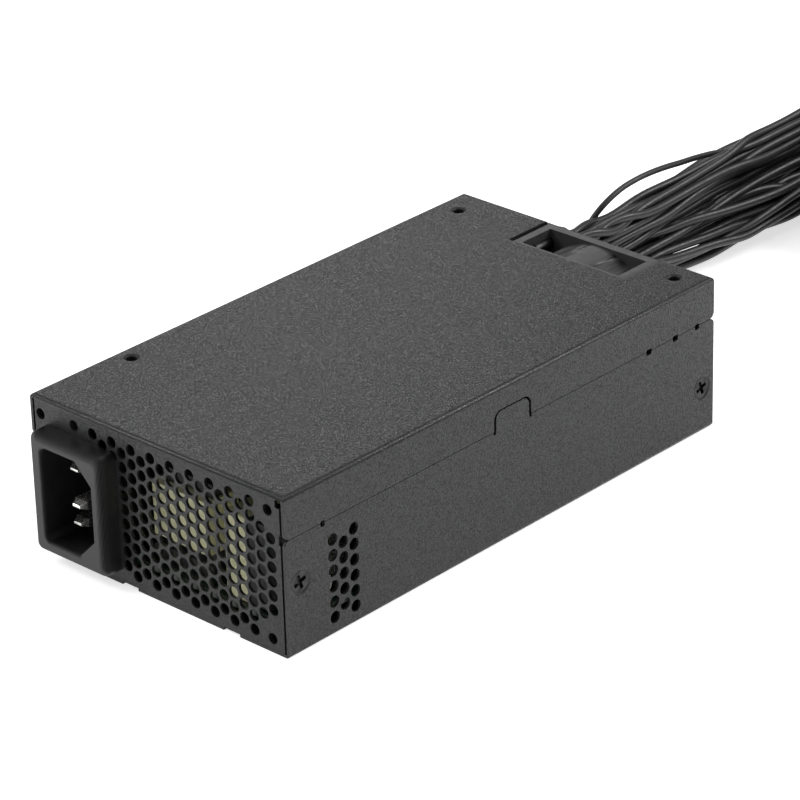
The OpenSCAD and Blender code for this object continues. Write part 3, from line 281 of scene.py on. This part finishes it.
def floor_paint():
    """Pale paint that gives off some light, so that the floor comes out white."""
    p = Paint("floor_paint", roughness=0.9, specular=0.1)
    p.shader.inputs["Emission Color"].default_value = (1, 1, 1, 1)
    p.shader.inputs["Emission Strength"].default_value = 0.65
    p.colour(p.noise(0.4), (0.93, 0.93, 0.93), (0.95, 0.95, 0.95))
    return p.material


def case_coating():
    """Black powder coat: one fine grain in colour, gloss and relief."""
    p = Paint("case_coating", specular=0.33)
    grain = p.noise(0.33 * MM, 1)
    p.colour(grain, (0.005, 0.0051, 0.0053), (0.026, 0.0267, 0.0275), 0.42, 0.6)
    p.rough(grain, 0.60, 0.12)
    p.bump(grain, 0.08 * MM, 1.0)
    return p.material


def satin_plastic(name, dark, light, roughness=(0.4, 0.52)):
    """Moulded plastic with a fine spark-eroded skin."""
    p = Paint(name)
    p.colour(p.noise(4 * MM), dark, light)
    p.rough(p.noise(1.5 * MM), *roughness)
    p.bump(p.noise(0.3 * MM), 0.02 * MM, 0.35)
    return p.material


def wire_vinyl(name, dark, light):
    """Extruded wire insulation with a soft sheen and faint scuffs along it."""
    p = Paint(name)
    p.colour(p.noise(6 * MM), dark, light)
    p.rough(p.noise(2 * MM, 3), 0.36, 0.5)
    p.bump(p.noise(1.2 * MM), 0.02 * MM, 0.25)
    return p.material


def metal(name, dark, light, roughness=(0.2, 0.35)):
    """Plain metal with faint unevenness."""
    p = Paint(name, metallic=1.0)
    p.colour(p.noise(2 * MM), dark, light)
    p.rough(p.noise(0.6 * MM, 3), *roughness)
    p.bump(p.noise(0.6 * MM), 0.01 * MM, 0.1)
    return p.material


def coated(name, dark, light):
    """Painted, dipped or taped surfaces with a slow wave in them."""
    p = Paint(name, coat=0.2)
    p.colour(p.noise(2.5 * MM), dark, light)
    p.rough(p.noise(1.5 * MM, 3), 0.25, 0.4)
    p.bump(p.noise(1.5 * MM), 0.05 * MM, 0.3)
    return p.material


# Darker and lighter colour of each material slot, and its range of roughness where it has its own
METALS = {
    "black_screws": ((0.03, 0.03, 0.03), (0.06, 0.06, 0.06), (0.4, 0.5)),
    "plated_contacts": ((0.72, 0.71, 0.68), (0.86, 0.85, 0.82)),
    "bearing_brass": ((0.62, 0.45, 0.20), (0.72, 0.54, 0.27)),
    "copper_winding": ((0.58, 0.24, 0.09), (0.75, 0.36, 0.15)),
    "shaft_steel": ((0.6, 0.6, 0.6), (0.7, 0.7, 0.7)),
    "heatsink_aluminium": ((0.6, 0.61, 0.62), (0.72, 0.73, 0.74)),
}
PLASTICS = {
    "inlet_plastic": ((0.007, 0.007, 0.0075), (0.010, 0.010, 0.011), (0.32, 0.4)),
    "fan_plastic": ((0.044, 0.044, 0.045), (0.054, 0.054, 0.055), (0.38, 0.48)),
    "ferrite": ((0.05, 0.05, 0.055), (0.07, 0.07, 0.075), (0.5, 0.7)),
    "plug_white": ((0.68, 0.67, 0.62), (0.76, 0.75, 0.70)),
    "component_black": ((0.02, 0.02, 0.022), (0.03, 0.03, 0.032)),
    "fuse_ceramic": ((0.62, 0.58, 0.48), (0.70, 0.67, 0.56)),
    "grommet_rubber": ((0.015, 0.015, 0.015), (0.024, 0.024, 0.024), (0.6, 0.75)),
    "connector_black": ((0.016, 0.016, 0.017), (0.024, 0.024, 0.025)),
}
COATED = {
    "insulator_film": ((0.012, 0.012, 0.012), (0.02, 0.02, 0.02)),
    "circuit_board": ((0.006, 0.022, 0.010), (0.009, 0.030, 0.013)),
    "yellow_tape": ((0.80, 0.79, 0.48), (0.88, 0.87, 0.56)),
    "capacitor_blue": ((0.03, 0.15, 0.40), (0.05, 0.20, 0.48)),
    "capacitor_sleeve": ((0.015, 0.018, 0.035), (0.022, 0.026, 0.05)),
    "toroid_green": ((0.13, 0.28, 0.11), (0.18, 0.34, 0.14)),
}
WIRES = {
    "lead_brown": ((0.16, 0.07, 0.03), (0.20, 0.09, 0.04)),
    "lead_blue": ((0.03, 0.09, 0.30), (0.05, 0.12, 0.38)),
    "lead_green": ((0.08, 0.28, 0.05), (0.12, 0.35, 0.07)),
    "fan_lead": ((0.25, 0.02, 0.02), (0.32, 0.03, 0.03)),
    "wire_black": ((0.009, 0.009, 0.010), (0.014, 0.014, 0.015)),
}


def make_materials():
    """One material for each of the record's slots."""
    made = {"case_coating": case_coating()}
    for maker, looks in (
        (metal, METALS), (satin_plastic, PLASTICS), (coated, COATED), (wire_vinyl, WIRES),
    ):
        for name, look in looks.items():
            made[name] = maker(name, *look)
    return made


def soften(node, width):
    """Joins the faces of a frame node, then rounds its edges a little, so that they catch the light."""
    obj = nodes[node]
    weld = obj.modifiers.new("weld", "WELD")
    weld.merge_threshold = 0.002 * MM
    flat = obj.modifiers.new("flat", "DECIMATE")
    flat.decimate_type = "DISSOLVE"
    flat.angle_limit = math.radians(0.5)
    bevel = obj.modifiers.new("bevel", "BEVEL")
    bevel.width = width
    bevel.segments = 2
    bevel.limit_method = "ANGLE"
    bevel.angle_limit = math.radians(35)
    bevel.use_clamp_overlap = True
    bevel.miter_outer = "MITER_ARC"


def paint_frame(materials):
    """Gives each frame node the material of its slot in the record."""
    for row in frame["record"]["subparts"]:
        mesh = nodes[row["node"]].data
        mesh.materials.clear()
        mesh.materials.append(materials[row["material_slot"]])


# ---------- harness ----------

def spline(points, steps):
    """Catmull-Rom spline through rows of any width, with steps samples between two rows."""
    p = np.array(points, float)
    out = []
    for i in range(len(p) - 1):
        a, b, c, d = p[max(i - 1, 0)], p[i], p[i + 1], p[min(i + 2, len(p) - 1)]
        for t in np.arange(steps) / steps:
            out.append(0.5 * (
                2 * b + (c - a) * t
                + (2 * a - 5 * b + 4 * c - d) * t * t + (3 * b - a - 3 * c + d) * t**3
            ))
    return np.array(out + [p[-1]])


def sides(line):
    """For each point of a line, unit vectors across it: to its side, and upwards."""
    ahead = np.gradient(line, axis=0)
    ahead /= np.linalg.norm(ahead, axis=1)[:, None]
    side = np.cross(ahead, [0, 0, 1])
    side /= np.linalg.norm(side, axis=1)[:, None]
    return side, np.cross(side, ahead)


CROWDED = math.radians(40)


def spot_pattern(rings, turn=0.35):
    """Places of wires across a bundle of radius 1, in rings of (radius, count), each turned on.

    They are a little closer together up and to the side, at CROWDED.
    """
    spots = []
    for radius, count in rings:
        for k in range(count):
            angle = 2 * math.pi * (k + 0.3 + turn * len(spots) / 10) / count
            angle -= 0.1 * math.sin(angle - CROWDED)
            spots.append((radius * math.cos(angle), radius * math.sin(angle)))
    return spots


def wander(along, seed):
    """A wire's slow drift in its bundle: its turn round the middle, and its share of the way out.

    It drifts only on the way to the fold, and not where the bundle is held. The seed sets the waves.
    """
    free = np.clip((along - FREE_Y) / EASE, 0, 1)
    free *= np.clip((TIE_Y - TIE_HOLD - along) / EASE, 0, 1)
    free[len(along) // 2:] = 0
    turn = SWING * free * np.sin(along * (26 + 4 * (seed % 5)) + seed * 2.4)
    reach = 1 - DRAW_IN * free * (1 + np.sin(along * (34 + 6 * (seed % 4)) + seed * 1.7))
    return turn, reach


class Strand:
    """One wire of a cable: its thickness, its place across the bundle and the path that these give."""

    def __init__(self, name, route, spot, diameter, seed):
        self.name = name
        self.diameter = diameter
        rows = spline(route, 8)
        line, half = rows[:, :3], rows[:, 3:]
        side, up = sides(line)
        turn, reach = wander(line[:, 1], seed)
        u = (spot[0] * np.cos(turn) - spot[1] * np.sin(turn)) * reach
        v = (spot[0] * np.sin(turn) + spot[1] * np.cos(turn)) * reach
        inside = np.maximum(half - diameter / 2, 0.4 * MM)
        self.path = line + side * (u * inside[:, 0])[:, None] + up * (v * inside[:, 1])[:, None]
        # the points that stay where they are while the wires settle
        self.fixed = np.zeros(len(self.path), bool)

    def bow_out(self):
        """Takes the wire out of the bundle along the bow, and back in before the tie."""
        bow = spline(bow_route, 7)
        back = int(np.argmax(self.path[:, 1] > BOW_END_Y))
        ahead = self.path[back + 1] - self.path[back]
        joint = bridge(bow[-1], bow[-1] - bow[-3], self.path[back], ahead, 16)
        self.path = np.vstack([bow, joint[1:], self.path[back + 1:]])
        self.fixed = np.arange(len(self.path)) < len(bow)

    def end_in(self, mouth, depth, straight):
        """Bends the last stretch so that it runs straight into a connector's hole."""
        mouth = Vector(mouth)
        goal = np.array(mouth) - np.array([0, depth, 0])
        line = self.path
        y = line[:, 1]
        start = len(y) - 1 - int(np.argmax(y[::-1] > mouth.y + straight + TURN_IN))
        keep = line[:start]
        entry = np.array(mouth) + np.array([0, straight, 0])
        tail = bridge(keep[-1], keep[-1] - keep[-4], entry, np.array([0, -1.0, 0]), 14)
        self.path = np.vstack([keep, tail[1:], goal[None]])
        self.fixed = np.concatenate([self.fixed[:start], np.zeros(len(tail), bool)])


def bridge(a, a_ahead, b, b_ahead, count):
    """A smooth stretch from point a to point b, leaving and arriving in the given directions."""
    reach = np.linalg.norm(b - a)
    p = a_ahead / np.linalg.norm(a_ahead) * reach
    q = b_ahead / np.linalg.norm(b_ahead) * reach
    t = np.linspace(0, 1, count)[:, None]
    return (
        (2 * t**3 - 3 * t**2 + 1) * a + (t**3 - 2 * t**2 + t) * p
        + (3 * t**2 - 2 * t**3) * b + (t**3 - t**2) * q
    )


def make_wire(strand, material):
    """A strand's curve, made round by its bevel and hung on the case's body."""
    curve = bpy.data.curves.new(strand.name, "CURVE")
    curve.dimensions = "3D"
    curve.bevel_depth = strand.diameter / 2
    curve.bevel_resolution = 3
    curve.use_fill_caps = True
    curve.resolution_u = 2
    line = curve.splines.new("NURBS")
    line.points.add(len(strand.path) - 1)
    for point, place in zip(line.points, strand.path):
        point.co = (*place, 1)
    line.order_u = 4
    line.use_endpoint_u = True
    curve.materials.append(material)
    wire = bpy.data.objects.new(strand.name, curve)
    bpy.context.collection.objects.link(wire)
    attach(wire, CASE)
    return wire


def contact_grid(node, columns, pitch, centre_z):
    """The wire holes of a two-row connector, from its box: (x, y, z) of each mouth, column by column."""
    low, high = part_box(node)
    x = (low.x + high.x) / 2
    return [
        (x + (c - (columns - 1) / 2) * pitch, high.y, centre_z + (r - 0.5) * pitch)
        for c in range(columns) for r in (0, 1)
    ]


def plug_in(strands, mouths, depth, straight):
    """Gives each strand the hole that it reaches without crossing its neighbours."""
    columns = {}
    for mouth in mouths:
        columns.setdefault(round(mouth[0], 5), []).append(mouth)
    returning = sorted(strands, key=lambda s: place_at(s, SORT_Y)[0])
    for x in sorted(columns):
        column = sorted(columns[x], key=lambda m: m[2])
        group = sorted(returning[:len(column)], key=lambda s: place_at(s, SORT_Y)[2])
        returning = returning[len(column):]
        for strand, mouth in zip(group, column):
            strand.end_in(mouth, depth, straight)


def place_at(strand, y):
    """Where a strand, on its way back from the fold, passes y."""
    line = strand.path[len(strand.path) // 2:]
    return line[int(np.argmin(np.abs(line[:, 1] - y)))]


def clear_push(points, owner, radius, block_size=150):
    """For every point of every wire, the mean move that takes it out of the other wires.

    The points are taken in blocks along Y, which keeps the tables of distances small.
    """
    order = np.argsort(points[:, 1], kind="stable")
    y = points[order, 1]
    reach = 2 * radius.max()
    push = np.zeros_like(points)
    for start in range(0, len(order), block_size):
        block = order[start:start + block_size]
        first = np.searchsorted(y, points[block[0], 1] - reach)
        last = np.searchsorted(y, points[block[-1], 1] + reach)
        near = order[first:last]
        apart = points[block][:, None] - points[near][None]
        gap = np.linalg.norm(apart, axis=2)
        need = radius[owner[block]][:, None] + radius[owner[near]][None]
        hit = (gap < need) & (owner[block][:, None] != owner[near][None])
        scale = np.where(hit, (need - gap) / np.maximum(gap, 1e-6), 0)
        push[block] = (apart * scale[:, :, None]).sum(1) / np.maximum(hit.sum(1), 1)[:, None]
    return push


def settle(strands, rounds=8):
    """Pushes wires that run side by side out of each other and off the floor, and keeps them smooth."""
    radius = np.array([s.diameter / 2 for s in strands])
    owner = np.concatenate([np.full(len(s.path), k) for k, s in enumerate(strands)])
    ends = np.cumsum([len(s.path) for s in strands])[:-1]
    for _ in range(rounds):
        pushes = np.split(clear_push(np.vstack([s.path for s in strands]), owner, radius), ends)
        for s, push in zip(strands, pushes):
            held = s.fixed.copy()
            held[:3] = held[-3:] = True  # both ends sit in the case and in a connector
            moved = s.path + 0.6 * push  # most of the way, as the other wire moves too
            smooth = moved.copy()
            smooth[1:-1] = 0.5 * moved[1:-1] + 0.25 * (moved[:-2] + moved[2:])
            smooth[:, 2] = np.maximum(smooth[:, 2], s.diameter / 2 + FLOOR_GAP)
            s.path = np.where(held[:, None], s.path, smooth)


def make_harness(material):
    """The three cables as single wires, from the case round the fold and into their connectors."""
    strands = {"main_cable": [], "cpu_cable": [], "drive_cable": []}
    for k, spot in enumerate(spot_pattern([(1, 14), (0.58, 7), (0.12, 2)], 0.45)):
        diameter = THIN_WIRE if k in THIN else MAIN_WIRE
        strands["main_cable"].append(Strand(f"main_wire_{k + 1:02d}", main_route, spot, diameter, k))
    for k, spot in enumerate(spot_pattern([(1, 7), (0, 1)])):
        strands["cpu_cable"].append(Strand(f"cpu_wire_{k + 1}", cpu_route, spot, CPU_WIRE, CPU_SEED + k))
    for k, spot in enumerate(spot_pattern([(1, 4)])):
        wire = Strand(f"drive_wire_{k + 1}", drive_route, spot, DRIVE_WIRE, DRIVE_SEED + k)
        strands["drive_cable"].append(wire)
    strands["main_cable"][BOW].bow_out()

    main_mouths = contact_grid("main_connector", 12, CONTACT_PITCH, MAIN_CONTACT_Z)
    del main_mouths[EMPTY_CONTACT]
    plug_in(strands["main_cable"], main_mouths, CONTACT_DEPTH, CONTACT_STRAIGHT)
    cpu_mouths = contact_grid("cpu_connector_a", 2, CONTACT_PITCH, CPU_CONTACT_Z)
    cpu_mouths += contact_grid("cpu_connector_b", 2, CONTACT_PITCH, CPU_CONTACT_Z)
    plug_in(strands["cpu_cable"], cpu_mouths, CONTACT_DEPTH, CONTACT_STRAIGHT)
    low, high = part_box("drive_connector")
    middle = (low.x + high.x) / 2
    drive_mouths = [
        (middle + (k - 1.5) * DRIVE_PITCH, high.y, low.z + DRIVE_CONTACT_UP) for k in range(4)
    ]
    plug_in(strands["drive_cable"], drive_mouths, DRIVE_DEPTH, DRIVE_STRAIGHT)

    every = [s for group in strands.values() for s in group]
    settle(every)
    for cable, group in strands.items():
        wires = [make_wire(s, material) for s in group]
        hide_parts(cable)


make_camera()
materials = make_materials()
make_harness(materials["wire_black"])
make_floor()
make_light()
paint_frame(materials)
for node, width in EDGES.items():
    soften(node, width * MM)
